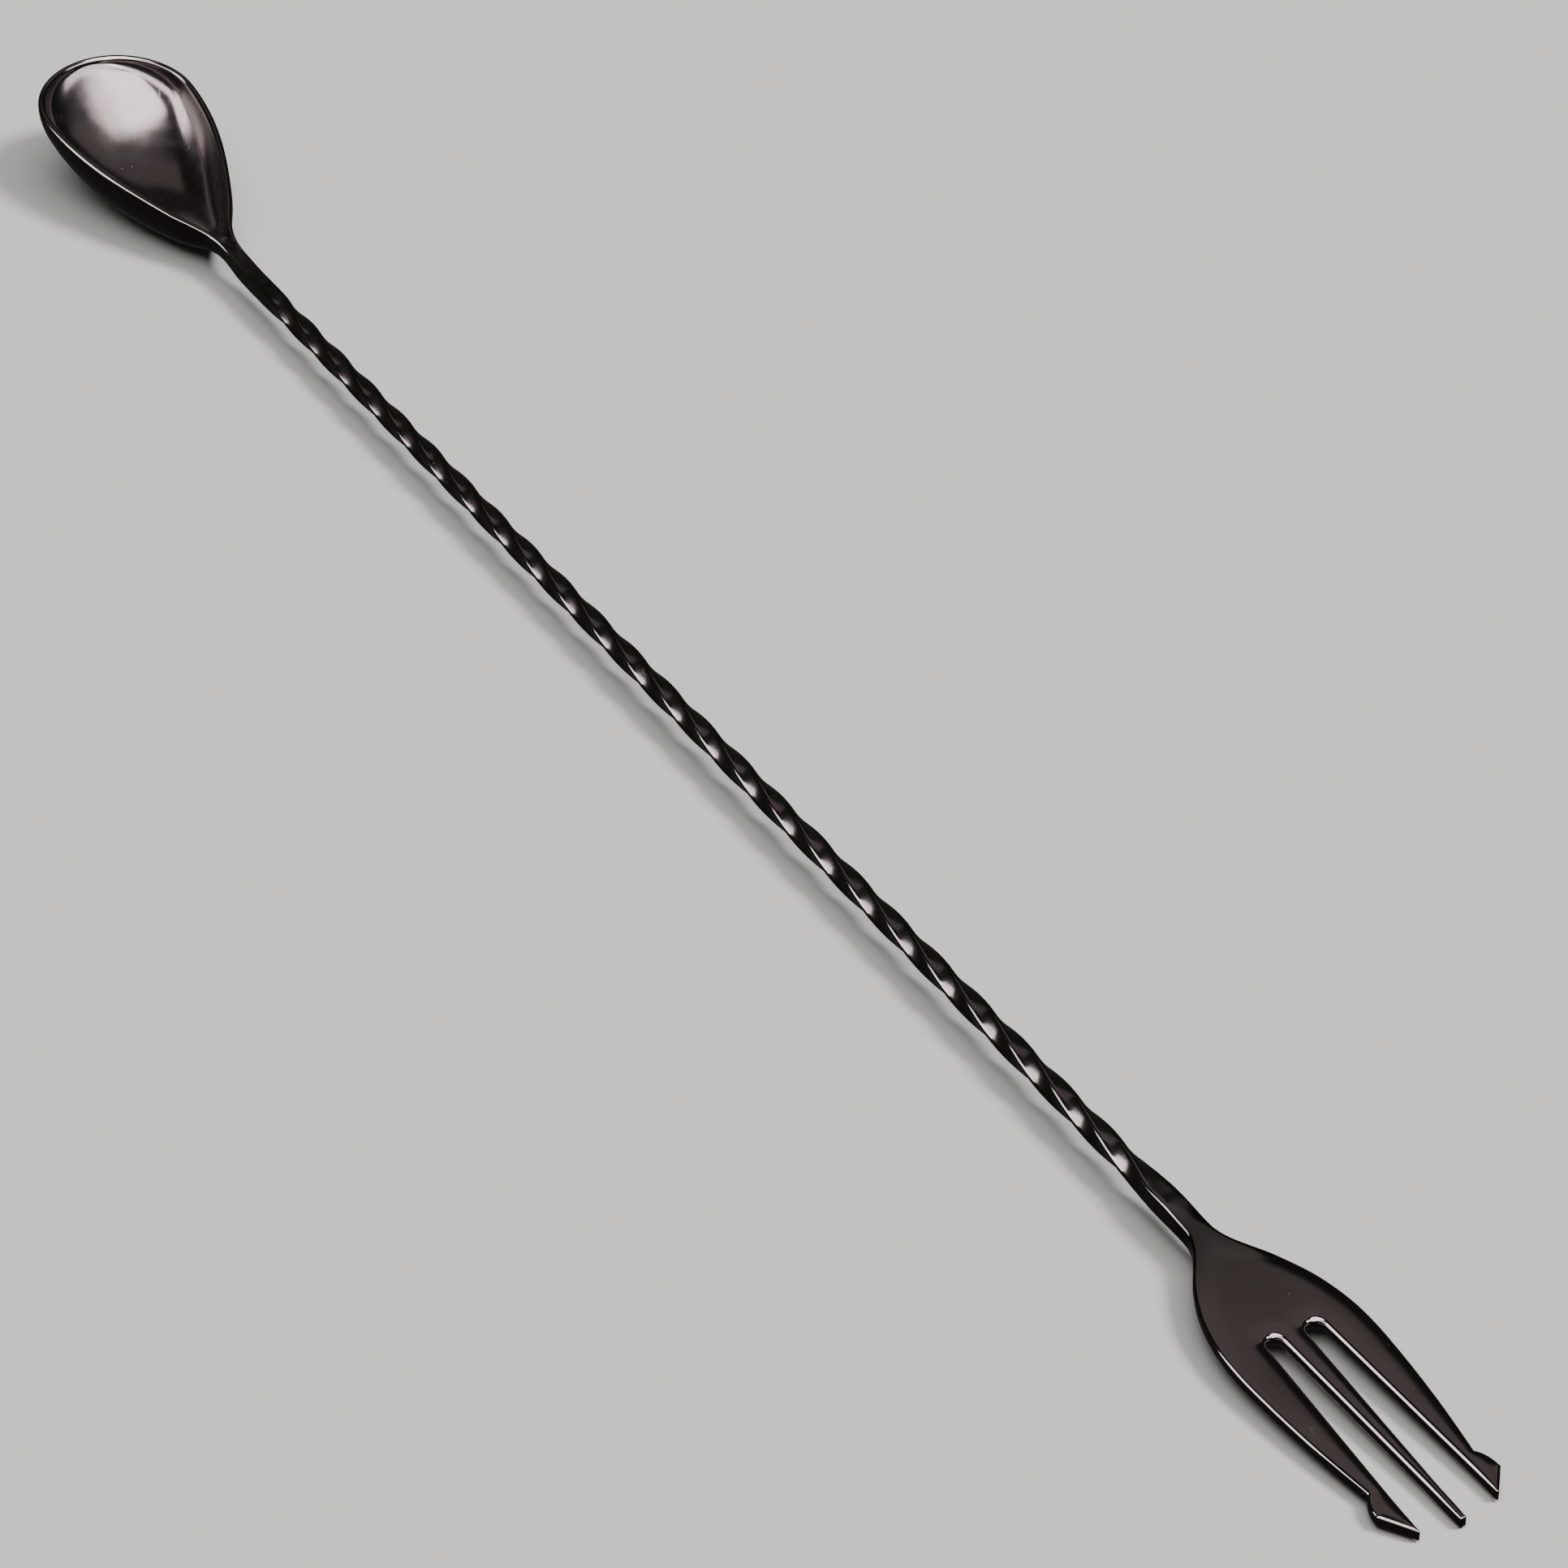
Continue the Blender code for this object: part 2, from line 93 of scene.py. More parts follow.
# Bowl. A share is a place along the bowl: 0 at the neck, 1 at the tip
BOWL_NECK_X = -138.5                 # where the neck opens into the bowl
BOWL_LENGTH = BOWL_NECK_X - BOWL_TIP
BOWL_HALF_WIDTH = BOWL_BOX[1].y / MM
BOWL_WIDEST = 0.78                   # share
FLANK_POWER = 1.3                    # the flanks of the outline start a little hollow
BOWL_DEPTH = 10.24
DEPTH_SKEW, DEPTH_FULLNESS = 1.25, 0.75
BOWL_RISE = 0.151                    # slope of the rim
BOWL_BEND = 5.0                      # the rim bends up within this distance of the neck
BOWL_POWER = 2.55                    # of the section's curve: 2 is an ellipse
BOWL_WALL = 1.2
LIP = BOWL_WALL / 2.0                # radius of the rounded lip
NARROW_WALL = 0.45                   # of the half-width, where the bowl is too narrow for the wall
LEAST_HALF_WIDTH = 0.05              # for that share, right at the neck
HOLLOW_START = 0.07                  # share
BOWL_OPENING = 0.28                  # share over which the neck's section turns into the bowl's
SPINE_END, SPINE_BEND = 0.70, 0.14   # share where the middle line ends, and its rounding
INNER_SPINE_MERGE = (0.15, 0.55)     # the inside's rows start a little further on near the neck
NECK_ROWS, FLANK_ROWS, TIP_ROWS = 12, 70, 40
FLANK_CROWDING = 1.15                # rows lie closer together near the neck,
COLUMN_CROWDING = 2.2                # and columns near the lip
OUTER_COLUMNS, LIP_COLUMNS, INNER_COLUMNS = 40, 12, 40

# Fork, in plan: u from the shoulder to the points, v to the side
MIDDLE_POINT = (57.3, 0.5)
FORK_SHOULDER_X = FORK_END - MIDDLE_POINT[0]
FORK_DROOP = 0.0476                  # slope down to the points
FORK_DROOP_START, FORK_DROOP_BEND = -5.5, 2.0
FORK_THICKNESS = 2.05
FORK_THINNING = (-3.0, 5.0)
FORK_THINNING_SWEEP = 0.7            # the step to the blade runs back along the shoulders
FORK_OUTER_EDGE = 0.45               # polishing has rounded the pressed edges,
FORK_SLOT_EDGE = 0.62                # those along the slots most of all
FORK_BARB_EDGE = 0.36
SLOT_FROM_U, SLOT_WITHIN_V = 17.0, 6.3         # the part of the outline that is the slots
SLOT_SIDE_BARB, OUTER_SIDE_BARB = (50.0, 56.0), (47.0, 50.0)     # where the barb's edge sets in
FORK_SHOULDER_DROP = 0.26            # the polished face falls away softly towards its edges
FORK_SHOULDER_WIDTH, FORK_SHOULDER_POWER = 3.5, 3
JOINT_BLEND = 5.0                    # length over which the bar's corners turn into these edges
ROUNDING_ROOM, SHOULDER_ROOM = 0.8, 0.88      # of the room inside the outline
FORK_SIDE = ((-3.0, 1.83), (-0.8, 1.9), (0.5, 2.2), (1.9, 2.78), (3.8, 3.95), (7.5, 6.4),
             (12.5, 8.7), (18.0, 10.05), (23.5, 10.45), (30.5, 10.13), (38.0, 9.45), (44.0, 8.67),
             (48.4, 8.0))
BARB_CORNER = (52.1, 9.3)
BARB_SWEEP = 1.3                     # the notch turns off the tine steeply, then levels off
SLOT_END_U = 19.9
TINE_POINT = {1: (56.0, 6.2), -1: (57.0, 5.95)}
SLOT_CENTRE_V = {1: 3.16, -1: 2.97}
SLOT_RADIUS = {1: 1.33, -1: 1.15}
POINT_RADIUS = 0.3
TINE_POINT_RADIUS = POINT_RADIUS * 0.7
OUTLINE_STEP = 0.35
BARB_STEPS, CORNER_STEPS, TINE_POINT_STEPS, SLOT_STEPS = 12, 6, 8, 48
ROUND_STEPS, SHOULDER_STEPS = 10, 8
GRID_END_U, GRID_SIDE_V = 16.0, 8.75           # extra points on the flat, as far as the slots
GRID_STEP, GRID_INSET, GRID_CLEARANCE = 0.5, 0.3, 0.2
PAINTED_SHADE_SWEEP = 0.9                    # painted shade: the plating is darkened in a V where the neck meets the blade
PAINTED_SHADE_START, PAINTED_SHADE_FADE = (0.5, 6.0), (-1.0, 6.0)     # from the joint, and from the shoulder

# Meshes
SHARP_ANGLE = 50.0                   # degrees
MERGE_DISTANCE = 2e-5
SAME_PLACE = 1e-5
REPEATED_POINT = 1e-4                # closer points of the outline count as one
TRIANGLE_TOLERANCE = 1e-9
TINY = 1e-6                          # keeps a division away from 0
TABLE_DECIMALS = 6


def smoothstep(value, start, end):
    """0 before start, 1 after end, smooth between. Works on numbers and arrays."""
    t = np.clip((np.asarray(value, float) - start) / (end - start), 0.0, 1.0)
    return t * t * (3.0 - 2.0 * t)


def soft_ramp(value, radius):
    """max(value, 0) with its corner rounded over +-radius."""
    value = np.asarray(value, float)
    bend = (value + radius) ** 2 / (4.0 * radius)
    return np.where(value <= -radius, 0.0, np.where(value >= radius, value, bend))


def finish_mesh(name, bm, material, replaced):
    """Turn a bmesh in millimetres into a smooth piece that stands for a CAD node."""
    bmesh.ops.remove_doubles(bm, verts=bm.verts, dist=MERGE_DISTANCE)
    bmesh.ops.recalc_face_normals(bm, faces=bm.faces)
    if bm.calc_volume(signed=True) < 0.0:
        bmesh.ops.reverse_faces(bm, faces=bm.faces)
    bmesh.ops.scale(bm, vec=(MM, MM, MM), verts=bm.verts)
    mesh = bpy.data.meshes.new(name)
    bm.to_mesh(mesh)
    bm.free()
    mesh.shade_smooth()
    mesh.set_sharp_from_angle(angle=math.radians(SHARP_ANGLE))
    mesh.materials.append(material)
    piece = bpy.data.objects.new(name, mesh)
    bpy.context.scene.collection.objects.link(piece)
    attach(piece, "root")
    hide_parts(replaced)


def polish_layer(bm):
    """Per-point layer that says how far the polishing has smoothed the plating: 1 on edges."""
    return bm.verts.layers.float.new("polish")


def painted_shade_layer(bm):
    """Per-point layer that says how far painted shade darkens the plating."""
    return bm.verts.layers.float.new("painted_shade")


def skin_rings(bm, rings, close=True):
    """Quads between rings of vertices, or triangles where two of the corners are one vertex."""
    count = len(rings[0])
    last = count if close else count - 1
    for row, following in zip(rings, rings[1:]):
        for i in range(last):
            j = (i + 1) % count
            corners = [row[i], row[j], following[j], following[i]]
            kept = [v for n, v in enumerate(corners) if v not in corners[:n]]
            if len(kept) > 2:
                bm.faces.new(kept)


# ---------------------------------------------------------------- bar and welds

def bar_section(width, height):
    """Points (y, z) of a rounded rectangle, with the flats divided as well as the corners, and
    1 for the points on the corners."""
    corners = []
    half_y, half_z = width / 2.0 - BAR_CORNER, height / 2.0 - BAR_CORNER
    for quadrant, (sign_y, sign_z) in enumerate(((1, 1), (-1, 1), (-1, -1), (1, -1))):
        angles = math.pi / 2.0 * (quadrant + np.arange(BAR_ARC_STEPS + 1) / BAR_ARC_STEPS)
        corners.append(np.stack([sign_y * half_y + BAR_CORNER * np.cos(angles),
                                 sign_z * half_z + BAR_CORNER * np.sin(angles)], -1))
    points, on_corner = [], []
    for arc, following in zip(corners, corners[1:] + corners[:1]):
        points += list(arc)
        on_corner += [1.0] * len(arc)
        for step in range(1, BAR_FLAT_STEPS):
            points.append(arc[-1] + (following[0] - arc[-1]) * step / BAR_FLAT_STEPS)
            on_corner.append(0.0)
    return np.array(points), on_corner


def twist_angle(x):
    """Turn of the bar's section about its axis at x."""
    length = TWIST_END - TWIST_START
    rate = QUARTER_TURNS * (math.pi / 2.0) / (length - TWIST_RAMP)
    along = min(max(x - TWIST_START, 0.0), length)
    rising = soft_ramp(along - TWIST_RAMP / 2.0, TWIST_RAMP / 2.0)
    falling = soft_ramp(along - length + TWIST_RAMP / 2.0, TWIST_RAMP / 2.0)
    return rate * float(rising - falling)


def bar_size(x):
    """Width and height of the bar at x: square, swelling to the necks at its two ends."""
    to_bowl = 1.0 - float(smoothstep(x, STEM_START, TWIST_START + SWELL))
    to_fork = float(smoothstep(x, TWIST_END - SWELL, STEM_END))
    return [BAR_SIDE + (bowl_end - BAR_SIDE) * to_bowl + (fork_end - BAR_SIDE) * to_fork
            for bowl_end, fork_end in zip(BOWL_NECK, FORK_NECK)]


def bar_piece(name, places, sizes, angles, material, replaced):
    """A bar through the given places, with a flat cap at each end."""
    bm = bmesh.new()
    polish = polish_layer(bm)
    rings = []
    for x, size, angle in zip(places, sizes, angles):
        section, on_corner = bar_section(*size)
        y = section[:, 0] * math.cos(angle) - section[:, 1] * math.sin(angle)
        z = section[:, 0] * math.sin(angle) + section[:, 1] * math.cos(angle) + STEM_Z
        ring = [bm.verts.new((x, a, b)) for a, b in zip(y, z)]
        for vert, share in zip(ring, on_corner):
            vert[polish] = share
        rings.append(ring)
    skin_rings(bm, rings)
    bm.faces.new(rings[0])
    bm.faces.new(rings[-1])
    finish_mesh(name, bm, material, replaced)


def build_stem(material):
    """The twisted bar with its plain ends."""
    count = int((STEM_END - STEM_START) / BAR_STATION)
    places = [STEM_START + (STEM_END - STEM_START) * i / count for i in range(count + 1)]
    bar_piece("stem_polished", places, [bar_size(x) for x in places],
              [twist_angle(x) for x in places], material, "twisted_stem")


def build_weld(name, start, end, size, material, replaced):
    """The flush weld fills the bar between its two neighbours."""
    places = [start + (end - start) * i / WELD_STEPS for i in range(WELD_STEPS + 1)]
    bar_piece(name, places, [size] * len(places), [0.0] * len(places), material, replaced)


# ---------------------------------------------------------------- bowl

def bowl_share(x):
    """Place along the bowl at x: 0 at the neck, 1 at the tip."""
    return (BOWL_NECK_X - x) / BOWL_LENGTH


def egg_half_width(share):
    """Half-width of the teardrop outline."""
    share = np.clip(np.asarray(share, float), 0.0, 1.0)
    flank = np.sin(math.pi / 2.0 * np.minimum(share / BOWL_WIDEST, 1.0)) ** FLANK_POWER
    past = np.maximum(share - BOWL_WIDEST, 0.0) / (1.0 - BOWL_WIDEST)
    tip = np.sqrt(np.maximum(1.0 - past * past, 0.0))
    return BOWL_HALF_WIDTH * np.where(share < BOWL_WIDEST, flank, tip)


def depth_law(share):
    """Depth along the middle line, from 0 at both ends to 1 a little past the middle."""
    share = np.clip(np.asarray(share, float), 0.0, 1.0)
    return np.maximum(np.sin(math.pi * share ** DEPTH_SKEW), 0.0) ** DEPTH_FULLNESS


def dish(y, half_width):
    """Depth of a cross section at y, from 1 on the middle line to 0 at its half-width."""
    v = np.clip(y / np.maximum(half_width, TINY), 0.0, 1.0)
    return (1.0 - v ** BOWL_POWER) ** (1.0 / BOWL_POWER)


def rim_height(x):
    """Top of the rim at x: level with the neck's top, then rising towards the tip."""
    return STEM_Z + BOWL_NECK[1] / 2.0 + BOWL_RISE * soft_ramp(BOWL_NECK_X - x, BOWL_BEND)


def outline_shares():
    """Places of the rows along the outline: along the flank, then by angle round the tip."""
    flank = BOWL_WIDEST * (np.arange(FLANK_ROWS) / FLANK_ROWS) ** FLANK_CROWDING
    turn = math.pi / 2.0 * np.arange(TIP_ROWS + 1) / TIP_ROWS
    return np.concatenate([flank, BOWL_WIDEST + (1.0 - BOWL_WIDEST) * np.sin(turn)])


def smooth_lookup(x, xs, ys):
    """Cubic interpolation in a table, with no kinks at its points."""
    slopes = np.gradient(ys, xs)
    i = np.clip(np.searchsorted(xs, x) - 1, 0, len(xs) - 2)
    step = xs[i + 1] - xs[i]
    t = np.clip((x - xs[i]) / step, 0.0, 1.0)
    return ((1.0 + 2.0 * t) * (1.0 - t) ** 2 * ys[i] + t * (1.0 - t) ** 2 * step * slopes[i]
            + t * t * (3.0 - 2.0 * t) * ys[i + 1] - t * t * (1.0 - t) * step * slopes[i + 1])


def offset_outline(x, y, distance):
    """The outline moved inwards by a distance at each point."""
    dx, dy = np.gradient(x), np.gradient(y)
    dx[-1], dy[-1] = 0.0, -1.0
    length = np.hypot(dx, dy)
    return x - dy / length * distance, y + dx / length * distance


def hollow_outline(rim_x, rim_y):
    """Edge of the hollow: the outline moved inwards by the wall, which is thinner where the
    bowl is narrow."""
    wall = np.minimum(BOWL_WALL, NARROW_WALL * np.maximum(rim_y, LEAST_HALF_WIDTH))
    wall[FLANK_ROWS:] = BOWL_WALL
    in_x, in_y = offset_outline(rim_x, rim_y, wall)
    in_y = np.maximum(in_y, 0.0)
    in_y[-1] = 0.0
    return in_x, in_y


def underside_height(x, y):
    """Height of the bowl's underside."""
    share = bowl_share(x)
    depth = (BOWL_DEPTH - LIP) * depth_law(share) * dish(y, egg_half_width(share))
    return rim_height(x) - LIP - depth


def hollow_height(x, y, in_x, in_y):
    """Height of the bowl's inside, whose edge is the outline in_x, in_y."""
    table_x, first = np.unique(np.round(in_x, TABLE_DECIMALS), return_index=True)
    table_square = in_y[first] ** 2          # the square of the width has no steep end at the tip
    half_width = np.sqrt(np.maximum(smooth_lookup(x, table_x, table_square), 0.0))
    share = (bowl_share(x) - HOLLOW_START) / (bowl_share(in_x.min()) - HOLLOW_START)
    depth = (BOWL_DEPTH - BOWL_WALL - LIP) * depth_law(share) * dish(y, half_width)
    return rim_height(x) - LIP - depth


def lip_points(rim_x, rim_y, in_x, in_y):
    """Half a circle over the lip, from the outline to the hollow's edge."""
    turn = math.pi * np.arange(1, LIP_COLUMNS + 1) / LIP_COLUMNS
    blend = (1.0 - np.cos(turn)) / 2.0
    x = rim_x + (in_x - rim_x) * blend
    y = rim_y + (in_y - rim_y) * blend
    return np.stack([x, y, rim_height(x) - LIP + LIP * np.sin(turn)], -1)


def bowl_rows():
    """Right half of the bowl as rows of points (x, y, z): each row runs from the underside's
    middle line out to the rim, over the lip and back to the inside's middle line."""
    shares = outline_shares()
    rim_x = BOWL_NECK_X - BOWL_LENGTH * shares
    rim_y = egg_half_width(shares)
    in_x, in_y = hollow_outline(rim_x, rim_y)
    spine = BOWL_NECK_X - BOWL_LENGTH * (shares - soft_ramp(shares - SPINE_END, SPINE_BEND))
    inner_spine = spine + (in_x - rim_x) * (1.0 - smoothstep(shares, *INNER_SPINE_MERGE))
    outward = 1.0 - (1.0 - np.arange(OUTER_COLUMNS + 1) / OUTER_COLUMNS) ** COLUMN_CROWDING
    inward = 1.0 - (np.arange(1, INNER_COLUMNS + 1) / INNER_COLUMNS) ** COLUMN_CROWDING
    rows = []
    for k in range(len(shares)):
        x, y = spine[k] + (rim_x[k] - spine[k]) * outward, rim_y[k] * outward
        outer = np.stack([x, y, underside_height(x, y)], -1)
        outer[-1, 2] = rim_height(rim_x[k]) - LIP
        over = lip_points(rim_x[k], rim_y[k], in_x[k], in_y[k])
        x, y = inner_spine[k] + (in_x[k] - inner_spine[k]) * inward, in_y[k] * inward
        inner = np.stack([x, y, hollow_height(x, y, in_x, in_y)], -1)
        rows.append(np.concatenate([outer, over, inner]))
    return shares, rows


def neck_row(x):
    """Right half of the neck's rounded section at x, with as many points as a bowl row."""
    half_y, half_z = BOWL_NECK[0] / 2.0, BOWL_NECK[1] / 2.0
    flat_y, flat_z = half_y - BAR_CORNER, 2.0 * (half_z - BAR_CORNER)
    arc = math.pi / 2.0 * BAR_CORNER
    points = []
    for s in np.linspace(0.0, flat_y + arc + flat_z, OUTER_COLUMNS + 1):
        a = (s - flat_y) / BAR_CORNER
        if s < flat_y:
            points.append((s, -half_z))
        elif s < flat_y + arc:
            points.append((flat_y + BAR_CORNER * math.sin(a),
                           -half_z + BAR_CORNER * (1.0 - math.cos(a))))
        else:
            points.append((half_y, -half_z + BAR_CORNER + s - flat_y - arc))
    for step in range(1, LIP_COLUMNS + 1):
        a = math.pi / 2.0 * step / LIP_COLUMNS
        points.append((half_y - BAR_CORNER * (1.0 - math.cos(a)),
                       half_z - BAR_CORNER * (1.0 - math.sin(a))))
    for step in range(1, INNER_COLUMNS + 1):
        points.append((flat_y * (1.0 - step / INNER_COLUMNS), half_z))
    section = np.array(points)
    lift = rim_height(x) - BOWL_NECK[1] / 2.0
    return np.stack([np.full(len(section), x), section[:, 0], section[:, 1] + lift], -1)


def build_bowl(material):
    """The neck, and the bowl that opens out of it, as two halves joined on the middle line."""
    rows = [neck_row(BOWL_JOINT + (BOWL_NECK_X - BOWL_JOINT) * i / NECK_ROWS)
            for i in range(NECK_ROWS)]
    for share, row in zip(*bowl_rows()):
        opened = float(smoothstep(share, 0.0, BOWL_OPENING))
        plain = neck_row(BOWL_NECK_X - BOWL_LENGTH * share)
        rows.append(row * opened + plain * (1.0 - opened))
    bm = bmesh.new()
    polish = polish_layer(bm)
    for side in (1.0, -1.0):
        verts = [[bm.verts.new((p[0], side * p[1], p[2])) for p in row] for row in rows]
        for row in verts:
            for vert in row[OUTER_COLUMNS:OUTER_COLUMNS + LIP_COLUMNS + 1]:
                vert[polish] = 1.0
        skin_rings(bm, verts, close=False)
    bmesh.ops.remove_doubles(bm, verts=bm.verts, dist=MERGE_DISTANCE)
    end = [v for v in bm.verts if abs(v.co.x - BOWL_JOINT) < SAME_PLACE]
    end.sort(key=lambda v: math.atan2(v.co.z - STEM_Z, v.co.y))
    bm.faces.new(end)
    finish_mesh("bowl_polished", bm, material, "spoon_bowl")


# ---------------------------------------------------------------- fork

def curve_through(points, spacing):
    """Catmull-Rom curve through points, divided at about the given spacing."""
    ends = [points[0]] + list(points) + [points[-1]]
    curve = [Vector(points[0])]
    for i in range(1, len(ends) - 2):
        before, start, end, after = (Vector(p) for p in ends[i - 1:i + 3])
        steps = max(2, round((end - start).length / spacing))
        for step in range(1, steps + 1):
            t = step / steps
            curve.append(0.5 * ((2.0 * start) + (end - before) * t
                                + (2.0 * before - 5.0 * start + 4.0 * end - after) * t * t
                                + (3.0 * start - before - 3.0 * end + after) * t ** 3))
    return curve


def line_to(points, end, spacing):
    """Add a straight run to the end of a list of points."""
    start, end = points[-1], Vector(end)
    steps = max(1, round((end - start).length / spacing))
    points += [start.lerp(end, step / steps) for step in range(1, steps + 1)]


def rounded_corner(before, corner, after, radius, steps):
    """An arc of the given radius in place of a corner."""
    back = (Vector(before) - Vector(corner)).normalized()
    ahead = (Vector(after) - Vector(corner)).normalized()
    half_angle = back.angle(ahead) / 2.0
    reach = radius / math.tan(half_angle)
    centre = Vector(corner) + (back + ahead).normalized() * radius / math.sin(half_angle)
    first = Vector(corner) + back * reach - centre
    last = Vector(corner) + ahead * reach - centre
    sweep = first.angle_signed(last)
    return [centre + Vector((first.x * math.cos(a) + first.y * math.sin(a),
                             first.y * math.cos(a) - first.x * math.sin(a)))
            for a in (sweep * step / steps for step in range(steps + 1))]


def add_notch(outline):
    """Add the curve from the end of the tine's side out towards the barb's corner."""
    notch = outline[-1]
    for step in range(1, BARB_STEPS):
        t = step / BARB_STEPS
        outline.append(Vector((notch.x + (BARB_CORNER[0] - notch.x) * t ** BARB_SWEEP,
                               notch.y + (BARB_CORNER[1] - notch.y) * math.sin(math.pi / 2.0 * t))))


def add_slot_end(outline, centre, radius):
    """Add the half circle that ends a slot."""
    for step in range(1, SLOT_STEPS + 1):
        angle = math.pi / 2.0 + math.pi * step / SLOT_STEPS
        outline.append(centre + radius * Vector((math.cos(angle), math.sin(angle))))


def fork_half_outline(side):
    """One half of the outline, from the joint round the outer tine to the middle tine's end."""
    outline = [Vector((FORK_JOINT - FORK_SHOULDER_X, FORK_NECK[0] / 2.0))]
    line_to(outline, FORK_SIDE[0], OUTLINE_STEP)
    outline += curve_through(FORK_SIDE, OUTLINE_STEP)[1:]
    add_notch(outline)
    point, radius = TINE_POINT[side], SLOT_RADIUS[side]
    slot_centre = Vector((SLOT_END_U + radius, SLOT_CENTRE_V[side]))
    slot_outer = slot_centre + Vector((0.0, radius))
    outline += rounded_corner(outline[-1], BARB_CORNER, point, POINT_RADIUS, CORNER_STEPS)
    corner = rounded_corner(BARB_CORNER, point, slot_outer, TINE_POINT_RADIUS, TINE_POINT_STEPS)
    line_to(outline, corner[0], OUTLINE_STEP)
    outline += corner[1:]
    line_to(outline, slot_outer, OUTLINE_STEP)
    add_slot_end(outline, slot_centre, radius)
    corner = rounded_corner(outline[-1], MIDDLE_POINT, (MIDDLE_POINT[0], 0.0), POINT_RADIUS,
                            CORNER_STEPS)
    line_to(outline, corner[0], OUTLINE_STEP)
    outline += corner[1:]
    return outline


def fork_outline():
    """The whole outline (u, v), from one side of the joint to the other, without repeats."""
    right, left = fork_half_outline(1), fork_half_outline(-1)
    points = right + [Vector((p.x, -p.y)) for p in reversed(left)]
    kept = [points[0]]
    for p in points[1:]:
        if (p - kept[-1]).length > REPEATED_POINT:
            kept.append(p)
    return np.array([(p.x, p.y) for p in kept])


def inward_normals(points):
    """Unit normals into the outline, level with the joint at both ends."""
    ahead = np.diff(points, axis=0)
    ahead /= np.linalg.norm(ahead, axis=1)[:, None]
    along = np.concatenate([ahead[:1], ahead[:-1] + ahead[1:], ahead[-1:]])
    along /= np.linalg.norm(along, axis=1)[:, None]
    normals = np.stack([along[:, 1], -along[:, 0]], -1)
    normals[0], normals[-1] = (0.0, -1.0), (0.0, 1.0)
    return normals


def inner_room(points, normals):
    """Radius of the largest circle inside the outline that touches it at each point."""
    room = []
    for point, normal in zip(points, normals):
        across = points - point
        ahead = across @ normal
        near = ahead > TINY
        room.append(((across[near] ** 2).sum(1) / (2.0 * ahead[near])).min())
    return np.array(room)


def fork_edge_radius(outline):
    """Radius of the rounded edge at each point: outer edges, slot edges and the barbs' ends."""
    u, v = outline[:, 0], np.abs(outline[:, 1])
    in_slot = (u > SLOT_FROM_U) & (v < SLOT_WITHIN_V)
    radius = np.where(in_slot, FORK_SLOT_EDGE, FORK_OUTER_EDGE)
    on_barb = np.where(in_slot, smoothstep(u, *SLOT_SIDE_BARB), smoothstep(u, *OUTER_SIDE_BARB))
    return radius + (FORK_BARB_EDGE - radius) * on_barb


def fork_half_thickness(u, v):
    """Half the thickness of the fork: the neck's, stepping down to the blade's."""
    step = smoothstep(u - FORK_THINNING_SWEEP * np.abs(v), *FORK_THINNING)
    return (FORK_NECK[1] + (FORK_THICKNESS - FORK_NECK[1]) * step) / 2.0


def place_on_fork(u, v, height):
    """Point (x, y, z) of a place in plan, at a height over the fork's drooping middle plane."""
    drop = FORK_DROOP * float(soft_ramp(u - FORK_DROOP_START, FORK_DROOP_BEND))
    return (FORK_SHOULDER_X + u, v, STEM_Z - drop + height)


def edge_profile(rounding, reach):
    """The way from the wall onto a face, over the rounded edge and the soft shoulder. Each step
    is the inset from the outline, the height below the face, and the polish."""
    profile = []
    for step in range(ROUND_STEPS + 1):
        turn = math.pi / 2.0 * step / ROUND_STEPS
        inset, below = rounding * (1.0 - math.cos(turn)), rounding * (1.0 - math.sin(turn))
        profile.append((inset, below, 1.0))
    for step in range(1, SHOULDER_STEPS + 1):
        inset = rounding + (reach - rounding) * step / SHOULDER_STEPS
        profile.append((inset, np.zeros(len(inset)), 1.0 - step / SHOULDER_STEPS))
    return profile


def fork_rings():
    """Rings of points from the wall to the flat of a face: their places in plan, their heights
    over the middle plane, and their polish."""
    outline = fork_outline()
    normals = inward_normals(outline)
    room = inner_room(outline, normals)
    joint = outline[0, 0]
    joint_share = 1.0 - smoothstep(outline[:, 0], joint, joint + JOINT_BLEND)
    edge = fork_edge_radius(outline)
    rounding = np.minimum(edge + (BAR_CORNER - edge) * joint_share, ROUNDING_ROOM * room)
    reach = np.minimum(FORK_SHOULDER_WIDTH, SHOULDER_ROOM * room)
    rings = []
    for inset, below, polished in edge_profile(rounding, reach):
        plan = outline + normals * inset[:, None]
        soft = np.clip(1.0 - inset / FORK_SHOULDER_WIDTH, 0.0, 1.0) ** FORK_SHOULDER_POWER
        drop = below + FORK_SHOULDER_DROP * soft * (1.0 - joint_share)
        heights = fork_half_thickness(plan[:, 0], plan[:, 1]) - drop
        rings.append((plan, heights, polished))
    return rings


def point_inside(u, v, polygon):
    """Whether a point is inside a polygon."""
    following = np.roll(polygon, -1, axis=0)
    crosses = (polygon[:, 1] > v) != (following[:, 1] > v)
    a, b = polygon[crosses], following[crosses]
    crossing_u = a[:, 0] + (b[:, 0] - a[:, 0]) * (v - a[:, 1]) / (b[:, 1] - a[:, 1])
    return bool((u < crossing_u).sum() % 2)


